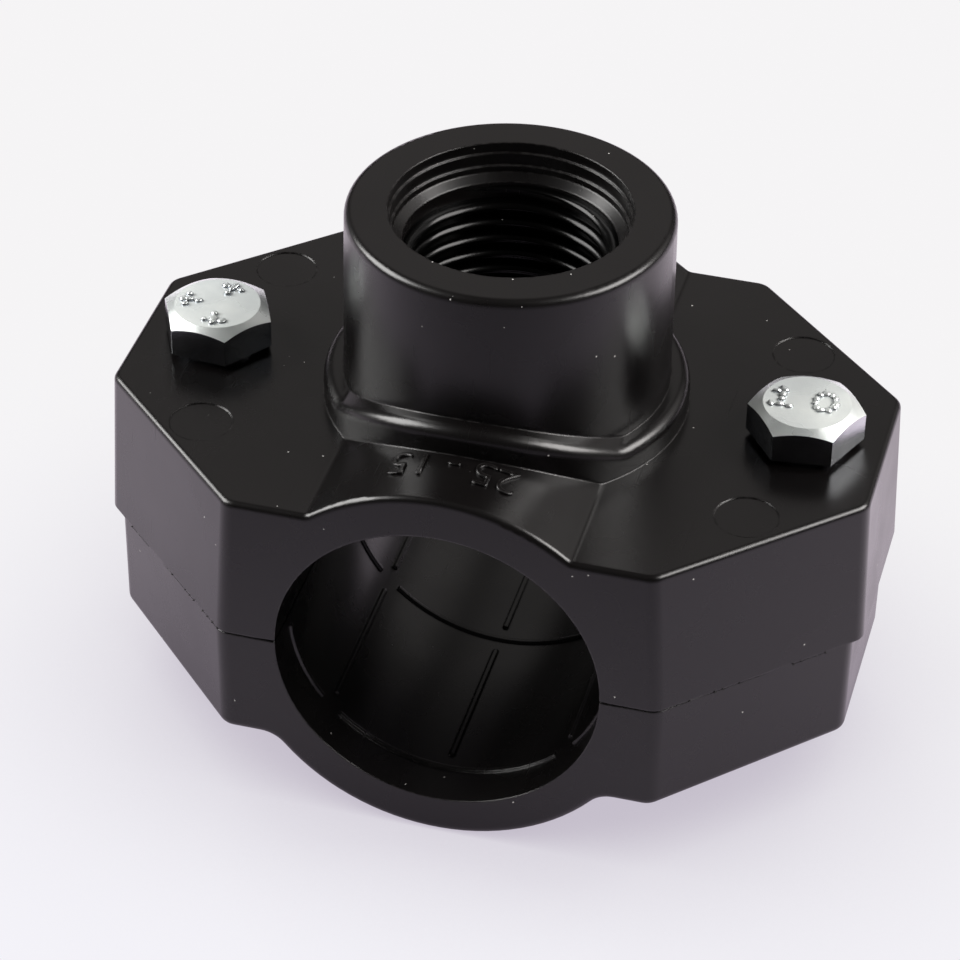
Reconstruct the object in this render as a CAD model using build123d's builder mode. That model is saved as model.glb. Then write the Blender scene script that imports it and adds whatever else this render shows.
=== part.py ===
"""Clamp saddle for tapping a 32 mm plastic pipe, with a 1/2 inch threaded outlet.

Two moulded half shells close round the pipe, which lies along Y, and two hex bolts on X draw
them together. The outlet stands on the upper half along +Z. The origin is where the pipe's
axis and the outlet's axis cross, on the parting plane. All lengths are in millimetres.
"""

from build123d import *
import os
from math import cos, degrees, radians, tan

os.makedirs("parts", exist_ok=True)

# Run pipe and the bore that holds it
pipe_diameter = 32.0
bore_clearance = 0.25  # radial, from the pipe to the bore wall
crown_wall = 4.35  # plastic over the bore
parting_gap = 0.04  # hair line left between the closed halves

# Outline of the two half shells, seen from above, at the parting plane
body_length = 51.2  # along the pipe
upper_width = 77.4  # across the bolts
end_face_width = 43.6
side_face_length = 18.4
side_lip = 1.0  # how far the upper half's sides overhang the lower half
upper_draft = 2.2  # degrees, on the sides and corners
lower_draft = 0.4
upright_edge_radius = 2.0
outline_overrun = 4.0  # outline carried on past the end faces before they trim it

# Wings that carry the bolts, and the edges of the half shells
upper_wing_height = 16.1
lower_wing_depth = 12.2
crease_radius = 1.0  # where the upper crown runs into its wings
underside_radius = 3.0  # where the lower crown runs into its wings
top_edge_radius = 0.6
bottom_edge_radius = 1.0
parting_edge = 0.08  # chamfer round both shells at the parting plane

# Outlet boss and the collar round its foot
boss_diameter = 32.0  # at the rim
boss_height = 37.2  # rim above the pipe's axis
boss_draft = 0.5  # degrees
boss_rim_radius = 0.8
collar_diameter = 36.2
collar_height = 2.8  # above the crown and the wings
collar_edge_radius = 1.2

# Outlet bore: a stepped mouth, the bore for the pipe thread, then the waterway
mouth_diameter = 23.7
mouth_step = 0.22  # radial, at each of the two steps
first_step_depth = 1.1
second_step_depth = 2.4
shelf_depth = 3.1
shelf_fall = 0.6  # how far the shelf slopes down to the thread
thread_major_diameter = 20.955
thread_length = 13.0
thread_runout = 1.9  # cone from the thread bore to the waterway
waterway_diameter = 17.0

# Seal ring in the bore's roof, round the waterway
seal_inner_diameter = 20.4
seal_width = 3.2
seal_seat_depth = 1.9  # from the bore wall up to the seat's floor
seal_clearance = 0.05  # round the ring in its seat

# Grip ribs inside the lower half, their crests at the pipe's diameter
rib_crest_width = 0.4
rib_foot_width = 1.0
rib_root = 0.3  # sunk into the bore wall
rib_ring_spacing = 20.9
rib_end_angle = 5.0  # degrees from the parting plane to the end of a ring rib
long_rib_angle = 48.0  # degrees from straight down
long_rib_break = 1.9  # from a ring rib's centre to the long rib's end
ring_rib_break = 1.3  # from a long rib's centre to the ring rib's end

# M6 bolts and their nuts
bolt_spacing = 60.0
bolt_diameter = 6.0
bolt_length = 35.0
bolt_tip_chamfer = 0.8
bolt_hole_clearance = 0.3  # radial
hex_across_flats = 10.0
hex_chamfer_angle = 30.0
head_height = 4.3
head_crown_diameter = 8.6  # flat disc on top of the head
washer_face_diameter = 9.0
washer_face_height = 0.6
left_head_turn = -5.0  # degrees the hexagon is turned about the bolt's axis
right_head_turn = 6.9
nut_height = 5.0
nut_crown_diameter = 9.4
nut_running_clearance = 0.05  # radial, from the bolt to the nut's bore
nut_side_clearance = 0.2
nut_pocket_depth = 6.0
nut_seat_gap = 0.05

# Ejector pin marks on the upper wings
pin_mark_diameter = 6.2
pin_mark_depth = 0.1
pin_mark_x = 27.2
pin_mark_y = 13.9

# Worked out from the sizes above
pipe_radius = pipe_diameter / 2
bore_radius = pipe_radius + bore_clearance
crown_radius = bore_radius + crown_wall
parting_half_gap = parting_gap / 2
lower_width = upper_width - 2 * side_lip
seal_outer_diameter = seal_inner_diameter + 2 * seal_width
seal_floor_radius = bore_radius + seal_seat_depth
bolt_x = bolt_spacing / 2
pocket_floor = lower_wing_depth - nut_pocket_depth
hex_across_corners = hex_across_flats / cos(radians(30))

# Sketch plane across the pipe with its second direction pointing down, for the lower half
across_pipe_down = Plane(origin=(0, 0, 0), x_dir=(1, 0, 0), z_dir=(0, 1, 0))


def half_section(across_pipe, crown, wing, width, blend):
    """Cross-section of a half shell before it is bored: its crown, its wings and their blends."""
    with BuildSketch(across_pipe) as section:
        Circle(crown)
        with Locations((0, wing / 2)):
            Rectangle(width, wing)
        with Locations((0, parting_half_gap + crown / 2)):
            Rectangle(width, crown, mode=Mode.INTERSECT)
        creases = section.vertices().filter_by(lambda v: abs(v.Y - wing) < 0.01 and abs(v.X) < crown)
        fillet(creases, radius=blend)
    return section.sketch


def outline(parting_plane, width):
    """Eight-sided outline of a half shell; its chamfers run on past the end faces."""
    half_side = side_face_length / 2
    slope = (width / 2 - end_face_width / 2) / (body_length / 2 - half_side)
    end_y = body_length / 2 + outline_overrun
    end_x = end_face_width / 2 - slope * outline_overrun
    corners = [
        (width / 2, -half_side),
        (width / 2, half_side),
        (end_x, end_y),
        (-end_x, end_y),
        (-width / 2, half_side),
        (-width / 2, -half_side),
        (-end_x, -end_y),
        (end_x, -end_y),
    ]
    with BuildSketch(parting_plane) as shape:
        Polygon(*corners, align=None)
    return shape.sketch


def flank_faces(shell):
    """Upright faces of a half shell, apart from its two end faces."""
    return shell.faces().filter_by(GeomType.PLANE).filter_by(lambda f: abs(f.normal_at().X) > 0.3)


def upright_edges(shell):
    """Straight edges that stand nearly along Z."""
    return shell.edges().filter_by(GeomType.LINE).filter_by(lambda e: abs((e % 0.5).Z) > 0.9)


def wing_rim_edges(shell, height):
    """Edges round the outside of the flat wings at this height, without the creases."""
    faces = shell.faces().filter_by(lambda f: abs(f.center().Z - height) < 0.01)
    return faces.edges().filter_by(
        lambda e: not (abs((e % 0.5).Y) > 0.99 and abs(e.center().X) < crown_radius + 1)
    )


def parting_edges(shell, height):
    """Outer edges of a half shell at the parting plane, without those of its bore."""
    level = shell.edges().filter_by(lambda e: abs(e.center().Z - height) < 0.01)
    return level.filter_by(lambda e: abs(e.center().X) > bore_radius + 1)


def saddle_ring(inner_diameter, outer_diameter, floor_radius, crest_radius):
    """Ring round the outlet's axis whose top and bottom follow cylinders about the pipe's axis."""
    with BuildPart() as ring:
        with BuildSketch():
            Circle(outer_diameter / 2)
            Circle(inner_diameter / 2, mode=Mode.SUBTRACT)
        extrude(amount=floor_radius + 1)
        Cylinder(floor_radius, body_length, rotation=(90, 0, 0), mode=Mode.INTERSECT)
        Cylinder(crest_radius, body_length, rotation=(90, 0, 0), mode=Mode.SUBTRACT)
    return ring.part


# Collar round the foot of the outlet: round in plan, its top a copy of the crown and wings
with BuildPart() as collar:
    extrude(
        half_section(
            Plane.XZ,
            crown_radius + collar_height,
            upper_wing_height + collar_height,
            upper_width,
            crease_radius,
        ),
        amount=collar_diameter,
        both=True,
    )
    Cylinder(collar_diameter / 2, 4 * crown_radius, mode=Mode.INTERSECT)
    collar_rim = collar.edges().filter_by(
        lambda e: e.geom_type != GeomType.LINE and e.center().Z > upper_wing_height
    )
    fillet(collar_rim, radius=collar_edge_radius)

# Seat that the seal ring lies in
seal_seat = saddle_ring(
    seal_inner_diameter - 2 * seal_clearance,
    seal_outer_diameter + 2 * seal_clearance,
    seal_floor_radius,
    pipe_radius - 1,
)

# Upper half shell: crown, wings and outlet, moulded in one piece
with BuildPart() as upper_saddle:
    extrude(
        half_section(Plane.XZ, crown_radius, upper_wing_height, upper_width, crease_radius),
        amount=body_length / 2,
        both=True,
    )
    upper_parting = Plane.XY.offset(parting_half_gap)
    extrude(outline(upper_parting, upper_width), amount=crown_radius, mode=Mode.INTERSECT)
    draft(flank_faces(upper_saddle), neutral_plane=upper_parting, angle=upper_draft)
    fillet(upright_edges(upper_saddle), radius=upright_edge_radius)
    fillet(wing_rim_edges(upper_saddle, upper_wing_height), radius=top_edge_radius)
    add(collar.part)
    with BuildSketch(Plane.XZ) as boss_profile:
        boss_foot = upper_wing_height / 2
        boss_foot_radius = boss_diameter / 2 + (boss_height - boss_foot) * tan(radians(boss_draft))
        Polygon(
            (0, boss_foot),
            (boss_foot_radius, boss_foot),
            (boss_diameter / 2, boss_height),
            (0, boss_height),
            align=None,
        )
        fillet(boss_profile.vertices().sort_by(Axis.Y)[-2:].sort_by(Axis.X)[-1], radius=boss_rim_radius)
    revolve(axis=Axis.Z)
    Cylinder(bore_radius, 2 * body_length, rotation=(90, 0, 0), mode=Mode.SUBTRACT)
    with BuildSketch(Plane.XZ):
        mouth_radius = mouth_diameter / 2
        thread_top = boss_height - shelf_depth - shelf_fall
        Polygon(
            (0, boss_height + 1),
            (mouth_radius, boss_height + 1),
            (mouth_radius, boss_height - first_step_depth),
            (mouth_radius - mouth_step, boss_height - first_step_depth),
            (mouth_radius - mouth_step, boss_height - second_step_depth),
            (mouth_radius - 2 * mouth_step, boss_height - second_step_depth),
            (mouth_radius - 2 * mouth_step, boss_height - shelf_depth),
            (thread_major_diameter / 2, thread_top),
            (thread_major_diameter / 2, thread_top - thread_length),
            (waterway_diameter / 2, thread_top - thread_length - thread_runout),
            (waterway_diameter / 2, 0),
            (0, 0),
            align=None,
        )
    revolve(axis=Axis.Z, mode=Mode.SUBTRACT)
    add(seal_seat, mode=Mode.SUBTRACT)
    with Locations((-bolt_x, 0, upper_wing_height), (bolt_x, 0, upper_wing_height)):
        Hole(radius=bolt_diameter / 2 + bolt_hole_clearance)
    with BuildSketch(Plane.XY.offset(upper_wing_height)):
        with GridLocations(2 * pin_mark_x, 2 * pin_mark_y, 2, 2):
            Circle(pin_mark_diameter / 2)
    extrude(amount=-pin_mark_depth, mode=Mode.SUBTRACT)
    chamfer(parting_edges(upper_saddle, parting_half_gap), length=parting_edge)
upper_saddle.part.label = "upper_saddle"
export_step(upper_saddle.part, "parts/upper_saddle.step")

# Seal ring: rubber, square in section, its face standing proud of the bore to meet the pipe
with BuildPart() as seal_ring:
    add(
        saddle_ring(
            seal_inner_diameter,
            seal_outer_diameter,
            seal_floor_radius - seal_clearance,
            pipe_radius,
        )
    )
seal_ring.part.label = "seal_ring"
export_step(seal_ring.part, "parts/seal_ring.step")

# Lower half shell: crown, wings with nut pockets, and grip ribs in its bore
with BuildPart() as lower_saddle:
    extrude(
        half_section(across_pipe_down, crown_radius, lower_wing_depth, lower_width, underside_radius),
        amount=body_length / 2,
        both=True,
    )
    lower_parting = Plane(origin=(0, 0, -parting_half_gap), x_dir=(1, 0, 0), z_dir=(0, 0, -1))
    extrude(outline(lower_parting, lower_width), amount=crown_radius, mode=Mode.INTERSECT)
    draft(flank_faces(lower_saddle), neutral_plane=lower_parting, angle=lower_draft)
    fillet(upright_edges(lower_saddle), radius=upright_edge_radius)
    fillet(wing_rim_edges(lower_saddle, -lower_wing_depth), radius=bottom_edge_radius)
    Cylinder(bore_radius, 2 * body_length, rotation=(90, 0, 0), mode=Mode.SUBTRACT)

    # ring ribs run round the bore and break where a long rib passes
    rib_section = [
        (pipe_radius, -rib_crest_width / 2),
        (pipe_radius, rib_crest_width / 2),
        (bore_radius + rib_root, rib_foot_width / 2),
        (bore_radius + rib_root, -rib_foot_width / 2),
    ]
    break_angle = degrees(ring_rib_break / pipe_radius)
    ring_rib_arcs = [
        (rib_end_angle, 90 - long_rib_angle - break_angle),
        (90 - long_rib_angle + break_angle, 90 + long_rib_angle - break_angle),
        (90 + long_rib_angle + break_angle, 180 - rib_end_angle),
    ]
    for ring_y in (-rib_ring_spacing, 0, rib_ring_spacing):
        for start, stop in ring_rib_arcs:
            with BuildSketch(Plane.XY.rotated((0, start, 0))):
                with Locations((0, ring_y)):
                    Polygon(*rib_section, align=None)
            revolve(axis=Axis.Y, revolution_arc=stop - start)

    # long ribs run from ring to ring
    long_rib_length = rib_ring_spacing - 2 * long_rib_break
    for rib_turn in (-long_rib_angle, 0, long_rib_angle):
        for rib_y in (-rib_ring_spacing / 2, rib_ring_spacing / 2):
            rib_middle = Plane((0, rib_y, 0), x_dir=(1, 0, 0), z_dir=(0, 1, 0))
            with BuildSketch(rib_middle.rotated((0, rib_turn, 0))):
                Polygon(*[(across, out) for out, across in rib_section], align=None)
            extrude(amount=long_rib_length / 2, both=True)

    with Locations((-bolt_x, 0, 0), (bolt_x, 0, 0)):
        Hole(radius=bolt_diameter / 2 + bolt_hole_clearance)
    with BuildSketch(Plane.XY.offset(-pocket_floor)):
        with Locations((-bolt_x, 0), (bolt_x, 0)):
            RegularPolygon(hex_across_flats / 2 + nut_side_clearance, 6, major_radius=False)
    extrude(amount=-crown_radius, mode=Mode.SUBTRACT)
    chamfer(parting_edges(lower_saddle, -parting_half_gap), length=parting_edge)
lower_saddle.part.label = "lower_saddle"
export_step(lower_saddle.part, "parts/lower_saddle.step")


def hex_bolt(x, turn, label):
    """M6 hex bolt through the wings at this x, its head turned about its own axis."""
    head_drop = (hex_across_corners / 2 - head_crown_diameter / 2) * tan(radians(hex_chamfer_angle))
    seat = Plane(origin=(x, 0, upper_wing_height))
    with BuildPart(seat) as bolt:
        with BuildSketch(seat.offset(washer_face_height)):
            RegularPolygon(hex_across_flats / 2, 6, major_radius=False, rotation=turn)
        extrude(amount=head_height - washer_face_height)
        with BuildSketch(Plane(origin=(x, 0, upper_wing_height), x_dir=(1, 0, 0), z_dir=(0, -1, 0))):
            Polygon(
                (0, 0),
                (hex_across_corners / 2, 0),
                (hex_across_corners / 2, head_height - head_drop),
                (head_crown_diameter / 2, head_height),
                (0, head_height),
                align=None,
            )
        revolve(axis=Axis((x, 0, 0), (0, 0, 1)), mode=Mode.INTERSECT)
        with BuildSketch(seat):
            Circle(washer_face_diameter / 2)
        extrude(amount=washer_face_height)
        with BuildSketch(seat):
            Circle(bolt_diameter / 2)
        extrude(amount=-bolt_length)
        chamfer(bolt.edges().sort_by(Axis.Z)[0], length=bolt_tip_chamfer)
    bolt.part.label = label
    return bolt.part


def hex_nut(x, label):
    """M6 hex nut held in the pocket under the lower wing at this x."""
    crown_drop = (hex_across_corners / 2 - nut_crown_diameter / 2) * tan(radians(hex_chamfer_angle))
    foot = -pocket_floor - nut_seat_gap - nut_height
    with BuildPart() as nut:
        with BuildSketch(Plane(origin=(x, 0, foot))):
            RegularPolygon(hex_across_flats / 2, 6, major_radius=False)
        extrude(amount=nut_height)
        with BuildSketch(Plane(origin=(x, 0, foot), x_dir=(1, 0, 0), z_dir=(0, -1, 0))):
            Polygon(
                (bolt_diameter / 2 + nut_running_clearance, 0),
                (nut_crown_diameter / 2, 0),
                (hex_across_corners / 2, crown_drop),
                (hex_across_corners / 2, nut_height - crown_drop),
                (nut_crown_diameter / 2, nut_height),
                (bolt_diameter / 2 + nut_running_clearance, nut_height),
                align=None,
            )
        revolve(axis=Axis((x, 0, 0), (0, 0, 1)), mode=Mode.INTERSECT)
    nut.part.label = label
    return nut.part


# Zinc-plated fasteners
bolt_left = hex_bolt(-bolt_x, left_head_turn, "bolt_left")
export_step(bolt_left, "parts/bolt_left.step")
bolt_right = hex_bolt(bolt_x, right_head_turn, "bolt_right")
export_step(bolt_right, "parts/bolt_right.step")
nut_left = hex_nut(-bolt_x, "nut_left")
export_step(nut_left, "parts/nut_left.step")
nut_right = hex_nut(bolt_x, "nut_right")
export_step(nut_right, "parts/nut_right.step")
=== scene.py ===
"""Looks of a clamp saddle for a plastic pipe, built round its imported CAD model.

The sections follow the saddle as it is put together: the upper half shell with its thread and
marks, the seal ring, the lower half shell, the bolts, the nuts, then the table, lamps and camera.
"""

import math

import bmesh
import bpy
from mathutils import Matrix, Vector


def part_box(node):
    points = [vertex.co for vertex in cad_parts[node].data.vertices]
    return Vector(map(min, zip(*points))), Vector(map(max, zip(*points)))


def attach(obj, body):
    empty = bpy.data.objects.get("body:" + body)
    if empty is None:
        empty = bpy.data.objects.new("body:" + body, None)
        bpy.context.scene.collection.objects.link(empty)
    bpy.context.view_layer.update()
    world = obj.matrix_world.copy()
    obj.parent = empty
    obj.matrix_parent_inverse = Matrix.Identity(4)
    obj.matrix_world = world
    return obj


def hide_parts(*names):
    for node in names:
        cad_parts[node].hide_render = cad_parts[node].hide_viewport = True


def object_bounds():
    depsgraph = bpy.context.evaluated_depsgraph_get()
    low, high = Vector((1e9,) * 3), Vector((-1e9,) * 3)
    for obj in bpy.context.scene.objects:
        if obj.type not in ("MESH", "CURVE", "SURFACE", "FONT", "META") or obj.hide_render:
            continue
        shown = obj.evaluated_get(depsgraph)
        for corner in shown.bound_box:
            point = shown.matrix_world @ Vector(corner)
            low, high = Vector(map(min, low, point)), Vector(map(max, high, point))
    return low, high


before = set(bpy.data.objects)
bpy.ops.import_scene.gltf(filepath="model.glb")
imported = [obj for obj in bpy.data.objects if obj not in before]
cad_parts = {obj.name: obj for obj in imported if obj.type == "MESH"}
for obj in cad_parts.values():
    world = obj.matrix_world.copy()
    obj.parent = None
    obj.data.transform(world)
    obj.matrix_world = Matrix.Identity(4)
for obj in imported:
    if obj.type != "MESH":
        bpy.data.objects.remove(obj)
cad_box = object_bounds()
MM = 0.001

# ---------------------------------------------------------------------------------------------
# Upper half shell. One injection moulding in black polypropylene: flat wings for the bolts, a
# crown over the pipe and a round outlet. It leaves the mould satin, with a fine even grain, and
# picks up light rubs on its edges, hairline scratches and specks of dust.


def new_group(name, inputs, outputs):
    """Empty shader node group with its named sockets; returns it with its two end nodes."""
    group = bpy.data.node_groups.new(name, "ShaderNodeTree")
    for label, kind, value in inputs:
        socket = group.interface.new_socket(label, in_out="INPUT", socket_type=kind)
        socket.default_value = value
    for label, kind in outputs:
        group.interface.new_socket(label, in_out="OUTPUT", socket_type=kind)
    return group, group.nodes.new("NodeGroupInput"), group.nodes.new("NodeGroupOutput")


def add_node(tree, kind, links=None, **settings):
    """Node with its settings; links maps an input to a socket to join or to a plain value."""
    node = tree.nodes.new(kind)
    for key, value in settings.items():
        setattr(node, key, value)
    for key, value in (links or {}).items():
        if isinstance(value, bpy.types.NodeSocket):
            tree.links.new(value, node.inputs[key])
        else:
            node.inputs[key].default_value = value
    return node


def maths(tree, operation, *values):
    """Result of a Math node."""
    return add_node(tree, "ShaderNodeMath", dict(enumerate(values)), operation=operation).outputs[0]


def remap(tree, value, start, stop, low=0.0, high=1.0, step="LINEAR"):
    """Value carried over from the span start to stop into the span low to high, held at its ends."""
    links = {"Value": value, "From Min": start, "From Max": stop, "To Min": low, "To Max": high}
    return add_node(tree, "ShaderNodeMapRange", links, interpolation_type=step).outputs[0]


def blend_values(tree, factor, first, second):
    """Number between two numbers, each a socket or a plain value."""
    links = {"Factor": factor, "A": first, "B": second}
    return add_node(tree, "ShaderNodeMix", links, data_type="FLOAT").outputs["Result"]


def blend_colours(tree, factor, first, second, blend_type="MIX"):
    """Colour between two colours, each a socket or its red, green and blue."""
    node = add_node(tree, "ShaderNodeMix", {0: factor}, data_type="RGBA", blend_type=blend_type)
    for key, colour in (("A", first), ("B", second)):
        if isinstance(colour, tuple):
            node.inputs[key].default_value = (*colour, 1)
        else:
            tree.links.new(colour, node.inputs[key])
    return node.outputs["Result"]


def fine_grain_group():
    """Grain of a moulded or plated skin: height for a Bump node and a slow change of gloss."""
    group, given, result = new_group(
        "fine grain",
        [("Position", "NodeSocketVector", (0, 0, 0)), ("Grain Size", "NodeSocketFloat", 0.0002)],
        [("Height", "NodeSocketFloat"), ("Clouds", "NodeSocketFloat")],
    )
    position = given.outputs["Position"]
    scale = maths(group, "DIVIDE", 1.0, given.outputs["Grain Size"])
    grain = add_node(
        group, "ShaderNodeTexNoise", {"Vector": position, "Scale": scale, "Detail": 3.0, "Roughness": 0.6}
    )
    clouds = add_node(
        group, "ShaderNodeTexNoise", {"Vector": position, "Scale": 90.0, "Detail": 4.0, "Roughness": 0.55}
    )
    group.links.new(grain.outputs["Fac"], result.inputs["Height"])
    group.links.new(clouds.outputs["Fac"], result.inputs["Clouds"])
    return group


def dust_group():
    """Specks of dust: a mask that is 1 on a speck, with one speck in some cells."""
    group, given, result = new_group(
        "dust",
        [
            ("Position", "NodeSocketVector", (0, 0, 0)),
            ("Spacing", "NodeSocketFloat", 0.004),
            ("Speck Size", "NodeSocketFloat", 0.03),
            ("Share", "NodeSocketFloat", 0.4),
        ],
        [("Specks", "NodeSocketFloat")],
    )
    scale = maths(group, "DIVIDE", 1.0, given.outputs["Spacing"])
    cells = add_node(group, "ShaderNodeTexVoronoi", {"Vector": given.outputs["Position"], "Scale": scale})
    near = maths(group, "LESS_THAN", cells.outputs["Distance"], given.outputs["Speck Size"])
    pick = add_node(group, "ShaderNodeSeparateColor", {0: cells.outputs["Color"]}).outputs[0]
    chosen = maths(group, "LESS_THAN", pick, given.outputs["Share"])
    group.links.new(maths(group, "MULTIPLY", near, chosen), result.inputs["Specks"])
    return group


def edge_wear_group():
    """Rubbed edges: the normal of a softened edge, and a broken mask that is 1 along it."""
    group, given, result = new_group(
        "edge wear",
        [
            ("Position", "NodeSocketVector", (0, 0, 0)),
            ("Radius", "NodeSocketFloat", 0.0003),
            ("Break Up", "NodeSocketFloat", 900.0),
        ],
        [("Normal", "NodeSocketVector"), ("Mask", "NodeSocketFloat")],
    )
    softened = add_node(group, "ShaderNodeBevel", {"Radius": given.outputs["Radius"]}, samples=6).outputs[0]
    plain = add_node(group, "ShaderNodeNewGeometry").outputs["Normal"]
    alike = add_node(group, "ShaderNodeVectorMath", {0: softened, 1: plain}, operation="DOT_PRODUCT")
    turned = remap(group, alike.outputs["Value"], 0.99, 0.86)
    breaks = add_node(
        group,
        "ShaderNodeTexNoise",
        {"Vector": given.outputs["Position"], "Scale": given.outputs["Break Up"], "Detail": 3.0},
    )
    broken = remap(group, breaks.outputs["Fac"], 0.42, 0.62)
    group.links.new(softened, result.inputs["Normal"])
    group.links.new(maths(group, "MULTIPLY", turned, broken), result.inputs["Mask"])
    return group


def painted_gap_shade_group():
    """Painted shade in the joint of the halves: a wavy mask round z = 0 that opens towards the pipe bore.

    It is drawn on upright faces only, so that the joint faces stay clean when the halves part.
    """
    group, given, result = new_group(
        "painted gap shade",
        [
            ("Position", "NodeSocketVector", (0, 0, 0)),
            ("Half Width", "NodeSocketFloat", 0.00004),
            ("Width At Bore", "NodeSocketFloat", 0.00016),
            ("Bore Radius", "NodeSocketFloat", 0.01625),
            ("Reach", "NodeSocketFloat", 0.004),
        ],
        [("Mask", "NodeSocketFloat")],
    )
    asked = given.outputs
    place = add_node(group, "ShaderNodeSeparateXYZ", {0: asked["Position"]}).outputs
    waves = add_node(
        group, "ShaderNodeTexNoise", {"Vector": asked["Position"], "Scale": 420.0, "Detail": 3.0}
    )
    sway = maths(group, "MULTIPLY", maths(group, "SUBTRACT", waves.outputs["Fac"], 0.5), 0.0003)
    off_line = maths(group, "ABSOLUTE", maths(group, "ADD", place["Z"], sway))
    past_bore = maths(group, "SUBTRACT", maths(group, "ABSOLUTE", place["X"]), asked["Bore Radius"])
    opening = remap(group, past_bore, 0.0, asked["Reach"], asked["Width At Bore"], asked["Half Width"])
    facing = add_node(group, "ShaderNodeNewGeometry").outputs["True Normal"]
    tilt = add_node(group, "ShaderNodeSeparateXYZ", {0: facing}).outputs["Z"]
    upright = maths(group, "LESS_THAN", maths(group, "ABSOLUTE", tilt), 0.5)
    inside = maths(group, "MULTIPLY", upright, maths(group, "LESS_THAN", off_line, opening))
    group.links.new(inside, result.inputs["Mask"])
    return group


fine_grain = fine_grain_group()
dust = dust_group()
edge_wear = edge_wear_group()
painted_gap_shade = painted_gap_shade_group()


def place_group(tree, group, **inputs):
    """Node of a shader group with its values or links."""
    node = tree.nodes.new("ShaderNodeGroup")
    node.node_tree = group
    for label, value in inputs.items():
        socket = node.inputs[label.replace("_", " ").title()]
        if isinstance(value, bpy.types.NodeSocket):
            tree.links.new(value, socket)
        else:
            socket.default_value = value
    return node


def moulded_plastic(name, tint, gloss, edge_radius, shine=0.5):
    """Black polypropylene as moulded: satin, faintly cloudy, rubbed on its edges, a little dusty."""
    material = bpy.data.materials.new(name)
    material.use_nodes = True
    tree = material.node_tree
    skin = tree.nodes["Principled BSDF"]
    skin.inputs["IOR"].default_value = 1.5
    place = add_node(tree, "ShaderNodeTexCoord").outputs["Object"]
    grain = place_group(tree, fine_grain, position=place, grain_size=0.00018)
    wear = place_group(tree, edge_wear, position=place, radius=edge_radius, break_up=1400.0)
    dusty = place_group(tree, dust, position=place, spacing=0.0016, speck_size=0.055, share=0.22)
    specks = dusty.outputs["Specks"]
    gap_shade_mask = place_group(tree, painted_gap_shade, position=place).outputs["Mask"]

    # hairline scratches: a noise stretched nearly flat, so that it draws fine strokes
    stretch = add_node(
        tree,
        "ShaderNodeMapping",
        {"Vector": place, "Rotation": (0.3, 0.5, 0.7), "Scale": (3200.0, 90.0, 160.0)},
    )
    strokes = add_node(
        tree, "ShaderNodeTexNoise", {"Vector": stretch.outputs[0], "Scale": 1.0, "Detail": 1.0}
    )
    scratches = remap(tree, strokes.outputs["Fac"], 0.73, 0.80)

    clouded = remap(tree, grain.outputs["Clouds"], 0.3, 0.7, gloss - 0.03, gloss + 0.05)
    rubbed = maths(tree, "MULTIPLY_ADD", scratches, 0.12, clouded)
    tree.links.new(blend_values(tree, specks, rubbed, 0.9), skin.inputs["Roughness"])

    worn = blend_colours(tree, wear.outputs["Mask"], tint, (0.030, 0.028, 0.028))
    spotted = blend_colours(tree, specks, worn, (0.42, 0.41, 0.40))
    # painted shade of the gap between the halves: nearly black, and without shine below
    gap_shaded_colour = blend_colours(tree, gap_shade_mask, spotted, (0.0004, 0.0004, 0.0004))
    tree.links.new(gap_shaded_colour, skin.inputs["Base Color"])
    tree.links.new(remap(tree, gap_shade_mask, 0.0, 1.0, shine, 0.0), skin.inputs["Specular IOR Level"])

    relief = {"Height": grain.outputs["Height"], "Normal": wear.outputs["Normal"]}
    bump = add_node(tree, "ShaderNodeBump", {"Strength": 0.3, "Distance": 0.00001, **relief})
    tree.links.new(bump.outputs[0], skin.inputs["Normal"])
    return material


def dress(node, material):
    """Give a CAD node's mesh its finish."""
    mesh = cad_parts[node].data
    mesh.materials.clear()
    mesh.materials.append(material)


shell_plastic = moulded_plastic("black polypropylene", (0.0030, 0.0025, 0.0025), 0.26, 0.00028)
dress("upper_saddle", shell_plastic)


# Outlet thread. Part of the same moulding: the right-hand ridge of a 1/2 inch parallel pipe
# thread, left by an unscrewing core. It starts under the sloping shelf of the mouth and runs out
# at the cone above the waterway.

thread_pitch = 1.814 * MM
thread_wall = 10.4775 * MM
thread_crest = 9.32 * MM
thread_top = 33.0 * MM
thread_bottom = 20.4 * MM


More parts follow.
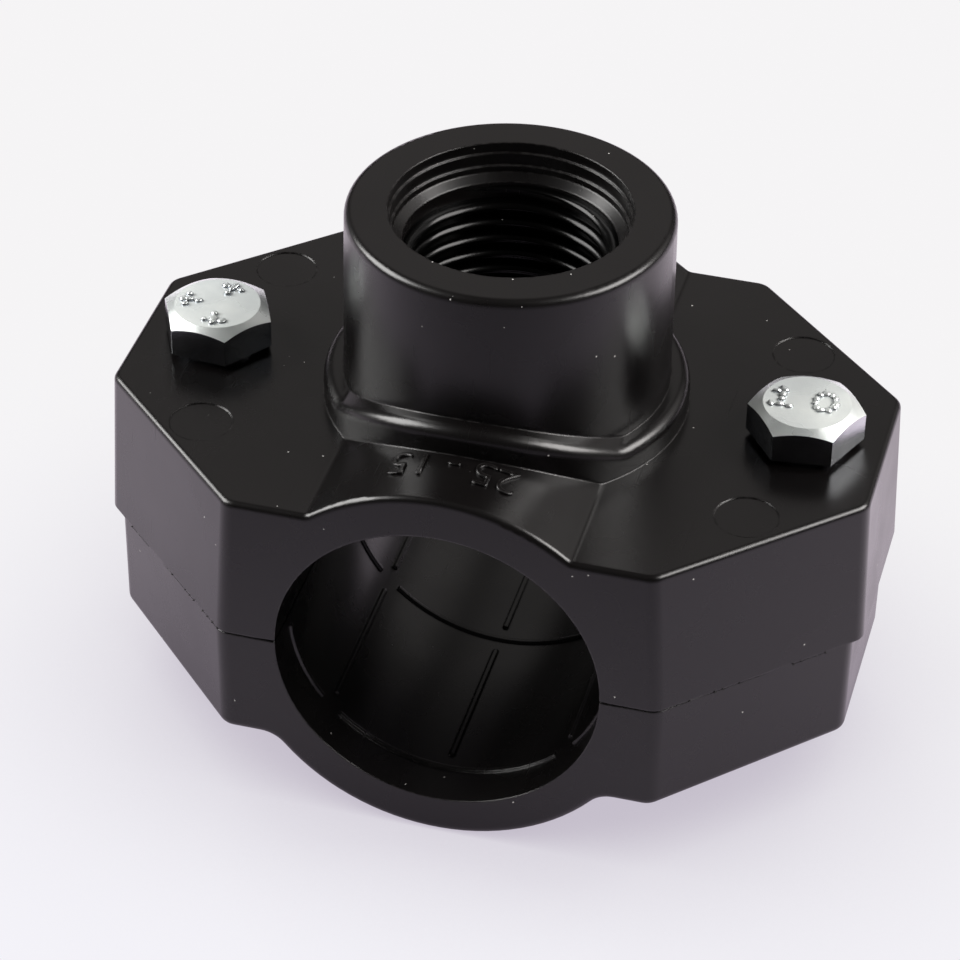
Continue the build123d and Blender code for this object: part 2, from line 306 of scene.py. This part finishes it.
def thread_ridge_tree():
    """Geometry Nodes: one ridge of a screw thread, swept along a helix and faded out at its ends."""
    tree = bpy.data.node_groups.new("thread ridge", "GeometryNodeTree")
    tree.interface.new_socket("Geometry", in_out="OUTPUT", socket_type="NodeSocketGeometry")
    for label, value in (
        ("Wall Radius", 0.01),
        ("Ridge Height", 0.001),
        ("Foot Width", 0.0015),
        ("Crest Width", 0.0003),
        ("Pitch", 0.0018),
        ("Turns", 7.0),
        ("Bottom", 0.0),
        ("Start Turn", 0.0),
        ("Fade Share", 0.08),
    ):
        socket = tree.interface.new_socket(label, in_out="INPUT", socket_type="NodeSocketFloat")
        socket.default_value = value
    steps = tree.interface.new_socket("Steps Per Turn", in_out="INPUT", socket_type="NodeSocketInt")
    steps.default_value = 96
    tree.interface.new_socket("Material", in_out="INPUT", socket_type="NodeSocketMaterial")
    given = tree.nodes.new("NodeGroupInput").outputs
    result = tree.nodes.new("NodeGroupOutput")

    def point(x=0.0, y=0.0, z=0.0):
        return add_node(tree, "ShaderNodeCombineXYZ", {0: x, 1: y, 2: z}).outputs[0]

    helix = add_node(
        tree,
        "GeometryNodeCurveSpiral",
        {
            "Resolution": given["Steps Per Turn"],
            "Rotations": given["Turns"],
            "Start Radius": given["Wall Radius"],
            "End Radius": given["Wall Radius"],
            "Height": maths(tree, "MULTIPLY", given["Pitch"], given["Turns"]),
            "Reverse": True,
        },
    )
    outwards = add_node(
        tree,
        "ShaderNodeVectorMath",
        {0: add_node(tree, "GeometryNodeInputPosition").outputs[0], 1: (1.0, 1.0, 0.0)},
        operation="MULTIPLY",
    )
    framed = add_node(
        tree,
        "GeometryNodeSetCurveNormal",
        {"Curve": helix.outputs[0], "Normal": outwards.outputs[0]},
        mode="FREE",
    )
    along = add_node(tree, "GeometryNodeSplineParameter").outputs["Factor"]
    from_end = maths(tree, "MINIMUM", along, maths(tree, "SUBTRACT", 1.0, along))
    grown = maths(tree, "DIVIDE", from_end, given["Fade Share"])
    fade = maths(tree, "MINIMUM", 1.0, maths(tree, "ADD", 0.02, grown))
    half_foot = maths(tree, "MULTIPLY", given["Foot Width"], 0.5)
    half_crest = maths(tree, "MULTIPLY", given["Crest Width"], 0.5)
    profile = add_node(
        tree,
        "GeometryNodeCurvePrimitiveQuadrilateral",
        {
            "Point 1": point(0.0, half_foot),
            "Point 2": point(given["Ridge Height"], half_crest),
            "Point 3": point(given["Ridge Height"], maths(tree, "MULTIPLY", half_crest, -1.0)),
            "Point 4": point(0.0, maths(tree, "MULTIPLY", half_foot, -1.0)),
        },
        mode="POINTS",
    )
    sweep = add_node(
        tree,
        "GeometryNodeCurveToMesh",
        {"Curve": framed.outputs[0], "Profile Curve": profile.outputs[0], "Scale": fade, "Fill Caps": True},
    )
    turned = maths(tree, "MULTIPLY", given["Start Turn"], math.tau)
    placed = add_node(
        tree,
        "GeometryNodeTransform",
        {
            "Geometry": sweep.outputs[0],
            "Translation": point(z=given["Bottom"]),
            "Rotation": point(z=turned),
        },
    )
    real = add_node(tree, "GeometryNodeRealizeInstances", {"Geometry": placed.outputs[0]})
    finished = add_node(
        tree, "GeometryNodeSetMaterial", {"Geometry": real.outputs[0], "Material": given["Material"]}
    )
    tree.links.new(finished.outputs[0], result.inputs[0])
    return tree


def grow(name, tree, base=None, **inputs):
    """Run a Geometry Nodes tree and keep its result as a plain mesh with outward faces."""
    seed_object = bpy.data.objects.new(name, base or bpy.data.meshes.new(name))
    bpy.context.scene.collection.objects.link(seed_object)
    modifier = seed_object.modifiers.new("grow", "NODES")
    modifier.node_group = tree
    for item in tree.interface.items_tree:
        key = item.name.replace(" ", "_").lower()
        if item.in_out == "INPUT" and key in inputs:
            modifier[item.identifier] = inputs[key]
    graph = bpy.context.evaluated_depsgraph_get()
    mesh = bpy.data.meshes.new_from_object(seed_object.evaluated_get(graph))
    seed_object.modifiers.remove(modifier)
    seed_object.data = mesh
    tidy_mesh(mesh)
    return seed_object


def tidy_mesh(mesh, weld=1e-7):
    """Merge doubles and turn every face outwards."""
    work = bmesh.new()
    work.from_mesh(mesh)
    bmesh.ops.remove_doubles(work, verts=work.verts, dist=weld)
    bmesh.ops.recalc_face_normals(work, faces=work.faces)
    work.to_mesh(mesh)
    work.free()


thread_ridge = thread_ridge_tree()
# darker and less shiny copy of the shell's plastic: painted shade deep in the outlet
thread_plastic_painted_shade = moulded_plastic(
    "black polypropylene, thread", (0.0008, 0.0008, 0.0008), 0.20, 0.0001, shine=0.22
)
thread_root = 0.03 * MM  # how deep the ridge's foot is sunk into the wall
outlet_thread = grow(
    "outlet_thread_ridge",
    thread_ridge,
    wall_radius=thread_wall + thread_root,
    ridge_height=thread_crest - thread_wall - thread_root,
    foot_width=1.46 * MM,
    crest_width=0.28 * MM,
    pitch=thread_pitch,
    turns=(thread_top - thread_bottom) / thread_pitch,
    bottom=thread_bottom,
    start_turn=0.42,
    fade_share=0.04,
    steps_per_turn=128,
    material=thread_plastic_painted_shade,
)
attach(outlet_thread, "upper_half")


# Raised size numbers on the crown. Cut into the mould, so that they stand proud of the shell in
# front of the collar; they are read from behind, upside down from the front.

crown_radius = 20.6 * MM
number_height = 3.4 * MM
number_rise = 0.22 * MM
number_line_y = -18.4 * MM
digit_share = 0.69  # height of a digit in lettering of size 1
stroke_thinning = 0.012  # share of the lettering's height
rim_rounding = 0.07  # share of the rise
longest_edge = 0.8 * MM  # before the lettering is bent over the crown


def raised_text(name, words, height, rise, sink, spacing=1.0):
    """Raised lettering as a mesh: x along the line, y up the letters, z out of the surface."""
    curve = bpy.data.curves.new(name, "FONT")
    curve.body = words
    curve.align_x = "CENTER"
    curve.size = height / digit_share
    curve.space_character = spacing
    curve.offset = -stroke_thinning * height
    curve.extrude = (rise + sink) / 2
    curve.bevel_depth = rim_rounding * rise
    curve.bevel_resolution = 2
    lettering = bpy.data.objects.new(name, curve)
    bpy.context.scene.collection.objects.link(lettering)
    graph = bpy.context.evaluated_depsgraph_get()
    mesh = bpy.data.meshes.new_from_object(lettering.evaluated_get(graph))
    bpy.data.objects.remove(lettering)
    piece = bpy.data.objects.new(name, mesh)
    bpy.context.scene.collection.objects.link(piece)
    mesh.transform(Matrix.Translation((0, 0, (rise - sink) / 2)))
    tidy_mesh(mesh)
    return piece


crown_numbers = raised_text("crown_size_numbers", "25 - 15", number_height, number_rise, 0.1 * MM, 0.92)
work = bmesh.new()
work.from_mesh(crown_numbers.data)
long_edges = [edge for edge in work.edges if edge.calc_length() > longest_edge]
bmesh.ops.subdivide_edges(work, edges=long_edges, cuts=2, use_grid_fill=True)
for vertex in work.verts:
    turn = -vertex.co.x / crown_radius
    out = crown_radius + vertex.co.z
    vertex.co = Vector((out * math.sin(turn), number_line_y - vertex.co.y, out * math.cos(turn)))
work.to_mesh(crown_numbers.data)
work.free()
crown_numbers.data.materials.append(shell_plastic)
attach(crown_numbers, "upper_half")


# ---------------------------------------------------------------------------------------------
# Seal ring. Moulded nitrile rubber, matt and a little bloomed, pressed into its seat in the roof
# of the bore, where it meets the pipe round the drilled hole.


def bloomed_rubber(name):
    """Matt black rubber with a faint grey bloom."""
    material = bpy.data.materials.new(name)
    material.use_nodes = True
    tree = material.node_tree
    skin = tree.nodes["Principled BSDF"]
    skin.inputs["Roughness"].default_value = 0.62
    place = add_node(tree, "ShaderNodeTexCoord").outputs["Object"]
    grain = place_group(tree, fine_grain, position=place, grain_size=0.0001)
    bloom = blend_colours(tree, grain.outputs["Clouds"], (0.012, 0.012, 0.012), (0.030, 0.030, 0.031))
    tree.links.new(bloom, skin.inputs["Base Color"])
    bump = add_node(
        tree, "ShaderNodeBump", {"Strength": 0.5, "Distance": 0.00002, "Height": grain.outputs["Height"]}
    )
    tree.links.new(bump.outputs[0], skin.inputs["Normal"])
    return material


dress("seal_ring", bloomed_rubber("nitrile rubber"))


# ---------------------------------------------------------------------------------------------
# Lower half shell. The second moulding, in the same plastic: a crown under the pipe, grip ribs in
# its bore and a hexagonal pocket for a nut under each wing.

dress("lower_saddle", shell_plastic)


# Parting flash. Where the two mouldings meet on the chamfered corners, thin crumbs of flash stand
# out of the line here and there, torn off when the halves were trimmed.


def lump_row_tree():
    """Geometry Nodes: uneven lumps along a line, on a thin strand that joins them."""
    tree = bpy.data.node_groups.new("row of lumps", "GeometryNodeTree")
    tree.interface.new_socket("Geometry", in_out="INPUT", socket_type="NodeSocketGeometry")
    tree.interface.new_socket("Geometry", in_out="OUTPUT", socket_type="NodeSocketGeometry")
    for label, value in (
        ("Lump Radius", 0.0002),
        ("Spacing", 0.0006),
        ("Share", 0.5),
        ("Flatness", 0.5),
        ("Strand Radius", 0.00005),
    ):
        socket = tree.interface.new_socket(label, in_out="INPUT", socket_type="NodeSocketFloat")
        socket.default_value = value
    tree.interface.new_socket("Seed", in_out="INPUT", socket_type="NodeSocketInt").default_value = 7
    tree.interface.new_socket("Material", in_out="INPUT", socket_type="NodeSocketMaterial")
    given = tree.nodes.new("NodeGroupInput").outputs
    result = tree.nodes.new("NodeGroupOutput")
    line = add_node(tree, "GeometryNodeMeshToCurve", {"Mesh": given["Geometry"]})
    points = add_node(
        tree,
        "GeometryNodeCurveToPoints",
        {"Curve": line.outputs[0], "Length": given["Spacing"]},
        mode="LENGTH",
    )
    keep = add_node(
        tree,
        "FunctionNodeRandomValue",
        {"Probability": given["Share"], "Seed": given["Seed"]},
        data_type="BOOLEAN",
    )
    lump = add_node(tree, "GeometryNodeMeshIcoSphere", {"Radius": given["Lump Radius"], "Subdivisions": 3})
    stretch = add_node(tree, "FunctionNodeRandomValue", {"Seed": given["Seed"]}, data_type="FLOAT_VECTOR")
    stretch.inputs["Min"].default_value = (0.7, 0.7, 0.8)
    stretch.inputs["Max"].default_value = (1.25, 1.25, 1.2)
    flat = add_node(tree, "ShaderNodeCombineXYZ", {0: 1.0, 1: 1.0, 2: given["Flatness"]})
    sizes = add_node(
        tree, "ShaderNodeVectorMath", {0: stretch.outputs[0], 1: flat.outputs[0]}, operation="MULTIPLY"
    )
    turns = add_node(tree, "FunctionNodeRandomValue", {"Seed": given["Seed"]}, data_type="FLOAT_VECTOR")
    turns.inputs["Max"].default_value = (0.0, 0.0, math.pi)
    lumps = add_node(
        tree,
        "GeometryNodeInstanceOnPoints",
        {
            "Points": points.outputs["Points"],
            "Selection": keep.outputs[3],
            "Instance": lump.outputs[0],
            "Rotation": turns.outputs[0],
            "Scale": sizes.outputs[0],
        },
    )
    ring = add_node(
        tree, "GeometryNodeCurvePrimitiveCircle", {"Resolution": 8, "Radius": given["Strand Radius"]}
    )
    strand = add_node(
        tree,
        "GeometryNodeCurveToMesh",
        {"Curve": line.outputs[0], "Profile Curve": ring.outputs[0], "Fill Caps": True},
    )
    both = add_node(tree, "GeometryNodeJoinGeometry")
    tree.links.new(lumps.outputs[0], both.inputs[0])
    tree.links.new(strand.outputs[0], both.inputs[0])
    smooth = add_node(tree, "GeometryNodeSetShadeSmooth", {"Geometry": both.outputs[0]})
    real = add_node(tree, "GeometryNodeRealizeInstances", {"Geometry": smooth.outputs[0]})
    finished = add_node(
        tree, "GeometryNodeSetMaterial", {"Geometry": real.outputs[0], "Material": given["Material"]}
    )
    tree.links.new(finished.outputs[0], result.inputs[0])
    return tree


def stroke_mesh(name, strokes):
    """Mesh of bare edges, one open line of points for each stroke."""
    points, edges = [], []
    for stroke in strokes:
        first = len(points)
        points += stroke
        edges += [(first + i, first + i + 1) for i in range(len(stroke) - 1)]
    mesh = bpy.data.meshes.new(name)
    mesh.from_pydata(points, edges, [])
    return mesh


row_of_lumps = lump_row_tree()
end_corner = (21.8 * MM, 25.55 * MM)
side_corner = (38.65 * MM, 9.25 * MM)
chamfer_lines = []
for x_side in (-1, 1):
    for y_side in (-1, 1):
        for first, last in ((0.03, 0.16), (0.24, 0.52), (0.66, 0.82)):
            chamfer_lines.append(
                [
                    (
                        x_side * (end_corner[0] + (side_corner[0] - end_corner[0]) * along),
                        y_side * (end_corner[1] + (side_corner[1] - end_corner[1]) * along),
                        0.0,
                    )
                    for along in (first, last)
                ]
            )
parting_flash = grow(
    "parting_flash",
    row_of_lumps,
    base=stroke_mesh("parting lines", chamfer_lines),
    lump_radius=0.13 * MM,
    spacing=0.9 * MM,
    share=0.45,
    flatness=0.45,
    strand_radius=0.02 * MM,
    seed=11,
    material=shell_plastic,
)
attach(parting_flash, "upper_half")


# ---------------------------------------------------------------------------------------------
# Bolts. Two M6 hexagon bolts, cold-headed, thread-rolled and bright zinc plated. Their heads
# carry plain raised marks, and their threads run in the captive nuts.


def zinc_plating(name, frost):
    """Zinc plating: smooth, mirror-like flats; ends and chamfers frosted by the die, nearly white."""
    material = bpy.data.materials.new(name)
    material.use_nodes = True
    tree = material.node_tree
    skin = tree.nodes["Principled BSDF"]
    place = add_node(tree, "ShaderNodeTexCoord").outputs["Object"]
    grain = place_group(tree, fine_grain, position=place, grain_size=0.00016)
    specks = place_group(tree, dust, position=place, spacing=0.0012, speck_size=0.07, share=0.22)
    facing = add_node(tree, "ShaderNodeNewGeometry").outputs["True Normal"]
    upward = add_node(tree, "ShaderNodeSeparateXYZ", {0: facing}).outputs["Z"]
    stamped = remap(tree, upward, 0.35, 0.7, 0.0, frost)
    end_face = remap(tree, upward, 0.93, 0.99)
    cloudy = remap(tree, grain.outputs["Clouds"], 0.38, 0.62)

    flat_tone = blend_colours(tree, cloudy, (0.36, 0.38, 0.42), (0.58, 0.60, 0.62))
    frosted_tone = blend_colours(tree, cloudy, (0.70, 0.75, 0.75), (0.92, 0.97, 0.94))
    tone = blend_colours(tree, stamped, flat_tone, frosted_tone)
    dulled = blend_colours(tree, specks.outputs["Specks"], tone, (0.30, 0.31, 0.32))
    tree.links.new(dulled, skin.inputs["Base Color"])

    metallic = blend_values(tree, stamped, 1.0, remap(tree, end_face, 0.0, 1.0, 0.62, 0.30))
    tree.links.new(metallic, skin.inputs["Metallic"])
    smooth = remap(tree, cloudy, 0.0, 1.0, 0.10, 0.22)
    rough = remap(tree, cloudy, 0.0, 1.0, 0.22, 0.40)
    tree.links.new(blend_values(tree, stamped, smooth, rough), skin.inputs["Roughness"])
    softened = add_node(tree, "ShaderNodeBevel", {"Radius": 0.00012}, samples=6)
    relief = {"Height": grain.outputs["Height"], "Normal": softened.outputs[0]}
    bump = add_node(tree, "ShaderNodeBump", {"Strength": 0.5, "Distance": 0.00003, **relief})
    tree.links.new(bump.outputs[0], skin.inputs["Normal"])
    return material


bolt_zinc = zinc_plating("bright zinc plating", 1.0)
bolt_pitch = 1.0 * MM
bolt_crest = 2.97 * MM
bolt_root = 2.46 * MM
bolt_shank = 3.02 * MM  # just outside the CAD bolt's plain shank
ridge_sink = 0.03 * MM
ridge_start = 1.0 * MM  # under the head
ridge_end = 0.5 * MM  # above the bolt's tip
core_facets = 48
core_sink = 0.1 * MM  # into the head
neck_length = 0.6 * MM  # plain neck under the head
neck_end = 1.2 * MM  # under the head, where the neck has tapered to the thread's root
tip_chamfer = 0.4 * MM
head_cover = 1.0 * MM  # this near to its top, every face belongs to the head


def threaded_bolt(name, node, body):
    """The bolt with its rolled thread: the CAD head, a core in place of the plain shank, a ridge."""
    low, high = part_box(node)
    tip, top = low[2], high[2]
    axis = Vector(((low[0] + high[0]) / 2, (low[1] + high[1]) / 2))
    work = bmesh.new()
    work.from_mesh(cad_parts[node].data)
    bmesh.ops.remove_doubles(work, verts=work.verts, dist=1e-6)
    shank = [
        face
        for face in work.faces
        if all((vertex.co.xy - axis).length < bolt_shank for vertex in face.verts)
        and face.calc_center_median().z < top - head_cover
    ]
    bmesh.ops.delete(work, geom=shank, context="FACES")
    head_seat = min(vertex.co.z for face in work.faces for vertex in face.verts)
    open_edges = [edge for edge in work.edges if len(edge.link_faces) == 1]
    bmesh.ops.holes_fill(work, edges=open_edges, sides=0)
    loose = [vertex for vertex in work.verts if not vertex.link_faces]
    bmesh.ops.delete(work, geom=loose, context="VERTS")

    # the core, from inside the head down to its chamfered tip
    core = (
        (bolt_crest, head_seat + core_sink),
        (bolt_crest, head_seat - neck_length),
        (bolt_root, head_seat - neck_end),
        (bolt_root, tip + tip_chamfer),
        (bolt_root - tip_chamfer, tip),
    )
    turns = [math.tau * step / core_facets for step in range(core_facets)]
    circles = []
    for radius, z in core:
        ring = [(axis.x + radius * math.cos(turn), axis.y + radius * math.sin(turn), z) for turn in turns]
        circles.append([work.verts.new(point) for point in ring])
    for upper, under in zip(circles, circles[1:]):
        for here in range(core_facets):
            after = (here + 1) % core_facets
            work.faces.new((upper[here], under[here], under[after], upper[after]))
    work.faces.new(circles[0])
    work.faces.new(list(reversed(circles[-1])))

    ridge = grow(
        name + "_ridge",
        thread_ridge,
        wall_radius=bolt_root - ridge_sink,
        ridge_height=bolt_crest - bolt_root + ridge_sink,
        foot_width=0.90 * MM,
        crest_width=0.14 * MM,
        pitch=bolt_pitch,
        turns=(head_seat - ridge_start - tip - ridge_end) / bolt_pitch,
        bottom=tip + ridge_end,
        start_turn=0.0,
        fade_share=0.02,
        steps_per_turn=36,
        material=bolt_zinc,
    )
    ridge.data.transform(Matrix.Translation((axis.x, axis.y, 0)))
    work.from_mesh(ridge.data)
    bpy.data.objects.remove(ridge)
    bmesh.ops.recalc_face_normals(work, faces=work.faces)
    for face in work.faces:
        face.material_index = 0
        face.smooth = True
    mesh = bpy.data.meshes.new(name)
    work.to_mesh(mesh)
    work.free()
    for layer in ("custom_normal", "sharp_face", "sharp_edge"):
        if layer in mesh.attributes:
            mesh.attributes.remove(mesh.attributes[layer])
    mesh.set_sharp_from_angle(angle=math.radians(22))
    mesh.materials.append(bolt_zinc)
    piece = bpy.data.objects.new(name, mesh)
    bpy.context.scene.collection.objects.link(piece)
    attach(piece, body)
    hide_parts(node)


threaded_bolt("threaded_bolt_left", "bolt_left", "left_bolt")
threaded_bolt("threaded_bolt_right", "bolt_right", "right_bolt")


# Head marks, raised by the heading die and rounded over by the plating: three plain ticks on the
# left head, the number 10 on the right one.


def circle_point(radius, degrees, across=1.0):
    """Point on a circle or, with across under 1, on a narrow oval."""
    turn = math.radians(degrees)
    return (radius * across * math.cos(turn), radius * math.sin(turn))


def head_marks(name, node, body, strokes, seed):
    """Raised marks on a bolt's head, drawn as rows of lumps from strokes round the head's centre."""
    low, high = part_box(node)
    middle_x, top_z = (low[0] + high[0]) / 2, high[2]
    placed = [[(middle_x + x, y, top_z) for x, y in stroke] for stroke in strokes]
    marks = grow(
        name,
        row_of_lumps,
        base=stroke_mesh(name + " strokes", placed),
        lump_radius=0.42 * MM,
        spacing=0.66 * MM,
        share=1.0,
        flatness=0.8,
        strand_radius=0.12 * MM,
        seed=seed,
        material=mark_zinc,
    )
    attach(marks, body)


mark_zinc = zinc_plating("bright zinc plating, marks", 0.9)

# each tick is a short spoke with a bar across it, near its outer end
spoke_start = 1.9 * MM
spoke_end = 3.5 * MM
bar_radius = 3.2 * MM
bar_half_angle = 16
ticks = []
for bearing in (184, 76, -80):
    bar_ends = (bearing - bar_half_angle, bearing + bar_half_angle)
    ticks.append([circle_point(spoke_start, bearing), circle_point(spoke_end, bearing)])
    ticks.append([circle_point(bar_radius, bar_end) for bar_end in bar_ends])
head_marks("head_ticks_left", "bolt_left", "left_bolt", ticks, 3)

one = [
    [(-3.2 * MM, 1.0 * MM), (-2.5 * MM, 1.8 * MM), (-2.5 * MM, -1.0 * MM)],
    [(-3.4 * MM, -1.1 * MM), (-1.6 * MM, -1.1 * MM)],
]
zero_ring = [circle_point(1.5 * MM, 30 * step, 0.68) for step in range(13)]
zero = [[(1.7 * MM + x, 0.4 * MM + y) for x, y in zero_ring]]
head_marks("head_number_right", "bolt_right", "right_bolt", one + zero, 8)


# ---------------------------------------------------------------------------------------------
# Nuts. Two plain M6 hexagon nuts, formed in steel and zinc plated like the bolts. Each is pressed
# up into the pocket under a lower wing, which keeps it from turning.

nut_zinc = zinc_plating("zinc plating, nuts", 0.5)
for node in ("nut_left", "nut_right"):
    dress(node, nut_zinc)


# ---------------------------------------------------------------------------------------------
# Table top: one wide white sheet that the saddle stands on, faintly lilac towards the front. It
# is seen evenly bright, with a painted shadow where the saddle keeps the room's light off it.

floor_z = cad_box[0][2]
floor_size = 3.0
floor_mesh = bpy.data.meshes.new("table_top")
floor_mesh.from_pydata(
    [(x * floor_size, y * floor_size, floor_z) for x, y in ((-1, -1), (1, -1), (1, 1), (-1, 1))],
    [],
    [(0, 1, 2, 3)],
)
table_top = bpy.data.objects.new("table_top", floor_mesh)
bpy.context.scene.collection.objects.link(table_top)
paper = bpy.data.materials.new("white table top, painted shadow")
paper.use_nodes = True
paper_tree = paper.node_tree
paper_skin = paper_tree.nodes["Principled BSDF"]
paper_skin.inputs["Base Color"].default_value = (0.86, 0.86, 0.87, 1)
paper_skin.inputs["Roughness"].default_value = 0.9
paper_skin.inputs["Specular IOR Level"].default_value = 0.0
paper_place = add_node(paper_tree, "ShaderNodeTexCoord").outputs["Object"]
paper_y = add_node(paper_tree, "ShaderNodeSeparateXYZ", {0: paper_place}).outputs["Y"]
paper_front = remap(paper_tree, paper_y, 0.06, -0.08, step="SMOOTHSTEP")
paper_white = blend_colours(paper_tree, paper_front, (0.915, 0.905, 0.915), (0.90, 0.89, 0.945))

# painted shadow: ambient occlusion darkens the sheet round the saddle, drawn out to the front right
shadow_occlusion_painted = add_node(
    paper_tree,
    "ShaderNodeAmbientOcclusion",
    {"Distance": 0.045, "Normal": (-0.42, 0.34, 0.84)},
    samples=16,
)
paper_painted_light = remap(paper_tree, shadow_occlusion_painted.outputs["AO"], 0.22, 0.92)
paper_with_painted_shadow = blend_colours(paper_tree, paper_painted_light, (0.56, 0.52, 0.60), paper_white)

# painted reflection: the shells mirror the sheet dimmer in its painted shadow and towards the front
paper_rays = add_node(paper_tree, "ShaderNodeLightPath")
mirrored = paper_rays.outputs["Is Glossy Ray"]
reflection_front_fade_painted = remap(paper_tree, paper_y, -0.12, 0.02, 0.25, 1.0)
reflection_level_painted = remap(paper_tree, paper_painted_light, 0.0, 1.0, 0.55, 1.25)
reflection_painted_dimmed = maths(paper_tree, "MULTIPLY", reflection_level_painted, reflection_front_fade_painted)
glow_and_painted_reflection_strength = blend_values(paper_tree, mirrored, 1.0, reflection_painted_dimmed)
colour_painted_shadow_tinted = blend_colours(paper_tree, mirrored, paper_with_painted_shadow, (1.0, 0.90, 0.99), "MULTIPLY")
glow_with_painted_shadow = add_node(paper_tree, "ShaderNodeEmission", {"Color": colour_painted_shadow_tinted, "Strength": glow_and_painted_reflection_strength})
paper_direct = maths(paper_tree, "MAXIMUM", paper_rays.outputs["Is Camera Ray"], mirrored)
paper_mix = add_node(
    paper_tree,
    "ShaderNodeMixShader",
    {0: paper_direct, 1: paper_skin.outputs[0], 2: glow_with_painted_shadow.outputs[0]},
)
paper_tree.links.new(paper_mix.outputs[0], paper_tree.nodes["Material Output"].inputs["Surface"])
floor_mesh.materials.append(paper)

# Lamps: a large soft box at the left, a smaller one at the right, and a dim room with a bright wall
# behind and a window at the back right.


def soft_box(name, bearing, height, distance, width, tall, radiance, tint):
    """Square lamp that faces the saddle from a bearing (degrees from +X) and a height angle."""
    lamp = bpy.data.lights.new(name, "AREA")
    lamp.shape = "RECTANGLE"
    lamp.size = width
    lamp.size_y = tall
    lamp.energy = radiance * width * tall * math.pi
    lamp.color = tint
    holder = bpy.data.objects.new(name, lamp)
    turn, rise = math.radians(bearing), math.radians(height)
    level = math.cos(rise)
    place = Vector((math.cos(turn) * level, math.sin(turn) * level, math.sin(rise))) * distance
    holder.location = place
    holder.rotation_euler = place.to_track_quat("Z", "Y").to_euler()
    bpy.context.scene.collection.objects.link(holder)
    return holder


soft_box("soft box, left", -175, 35, 0.9, 0.60, 0.52, 12.0, (1.0, 0.985, 0.97))
soft_box("soft box, right", 8, 42, 0.9, 0.62, 0.44, 12.0, (1.0, 0.97, 0.95))

world = bpy.data.worlds.new("room")
world.use_nodes = True
room = world.node_tree


def brightness_towards(direction, start, stop, low, high):
    """Brightness of the room: low away from a direction, high close to it."""
    bearing = add_node(
        room,
        "ShaderNodeVectorMath",
        {0: add_node(room, "ShaderNodeTexCoord").outputs["Generated"], 1: direction},
        operation="DOT_PRODUCT",
    )
    return remap(room, bearing.outputs["Value"], start, stop, low, high, "SMOOTHSTEP")


wall_light = brightness_towards((-0.2, 0.772, 0.603), 0.89, 0.995, 0.04, 0.36)
window_light = brightness_towards((0.60, 0.52, 0.61), 0.86, 0.97, 0.0, 0.6)
backdrop = room.nodes["Background"]
backdrop.inputs["Color"].default_value = (1.0, 0.95, 0.93, 1)
room.links.new(maths(room, "ADD", wall_light, window_light), backdrop.inputs["Strength"])
bpy.context.scene.world = world
bpy.context.scene.view_settings.view_transform = "Standard"

# Camera: a long lens, above and a little to the right of the pipe's axis. The two aims put the
# origin a little to the right of the view's middle and below it.

view_bearing = math.radians(14.54)
view_height = math.radians(37.11)
view_roll = math.radians(1.07)
view_distance = 0.3789
aim_right = 2.41 * MM
aim_up = 3.68 * MM

back = Vector(
    (
        math.cos(view_height) * math.sin(view_bearing),
        -math.cos(view_height) * math.cos(view_bearing),
        math.sin(view_height),
    )
)
level_right = Vector((math.cos(view_bearing), math.sin(view_bearing), 0))
level_up = back.cross(level_right)
right = math.cos(view_roll) * level_right + math.sin(view_roll) * level_up
up = math.cos(view_roll) * level_up - math.sin(view_roll) * level_right
camera_data = bpy.data.cameras.new("camera")
camera_data.sensor_width = 36
camera_data.lens = 139.8
camera_data.clip_start = 0.01
camera = bpy.data.objects.new("camera", camera_data)
camera.matrix_world = Matrix.Translation(
    view_distance * back - aim_right * right + aim_up * up
) @ Matrix((right, up, back)).transposed().to_4x4()
bpy.context.scene.collection.objects.link(camera)
bpy.context.scene.camera = camera
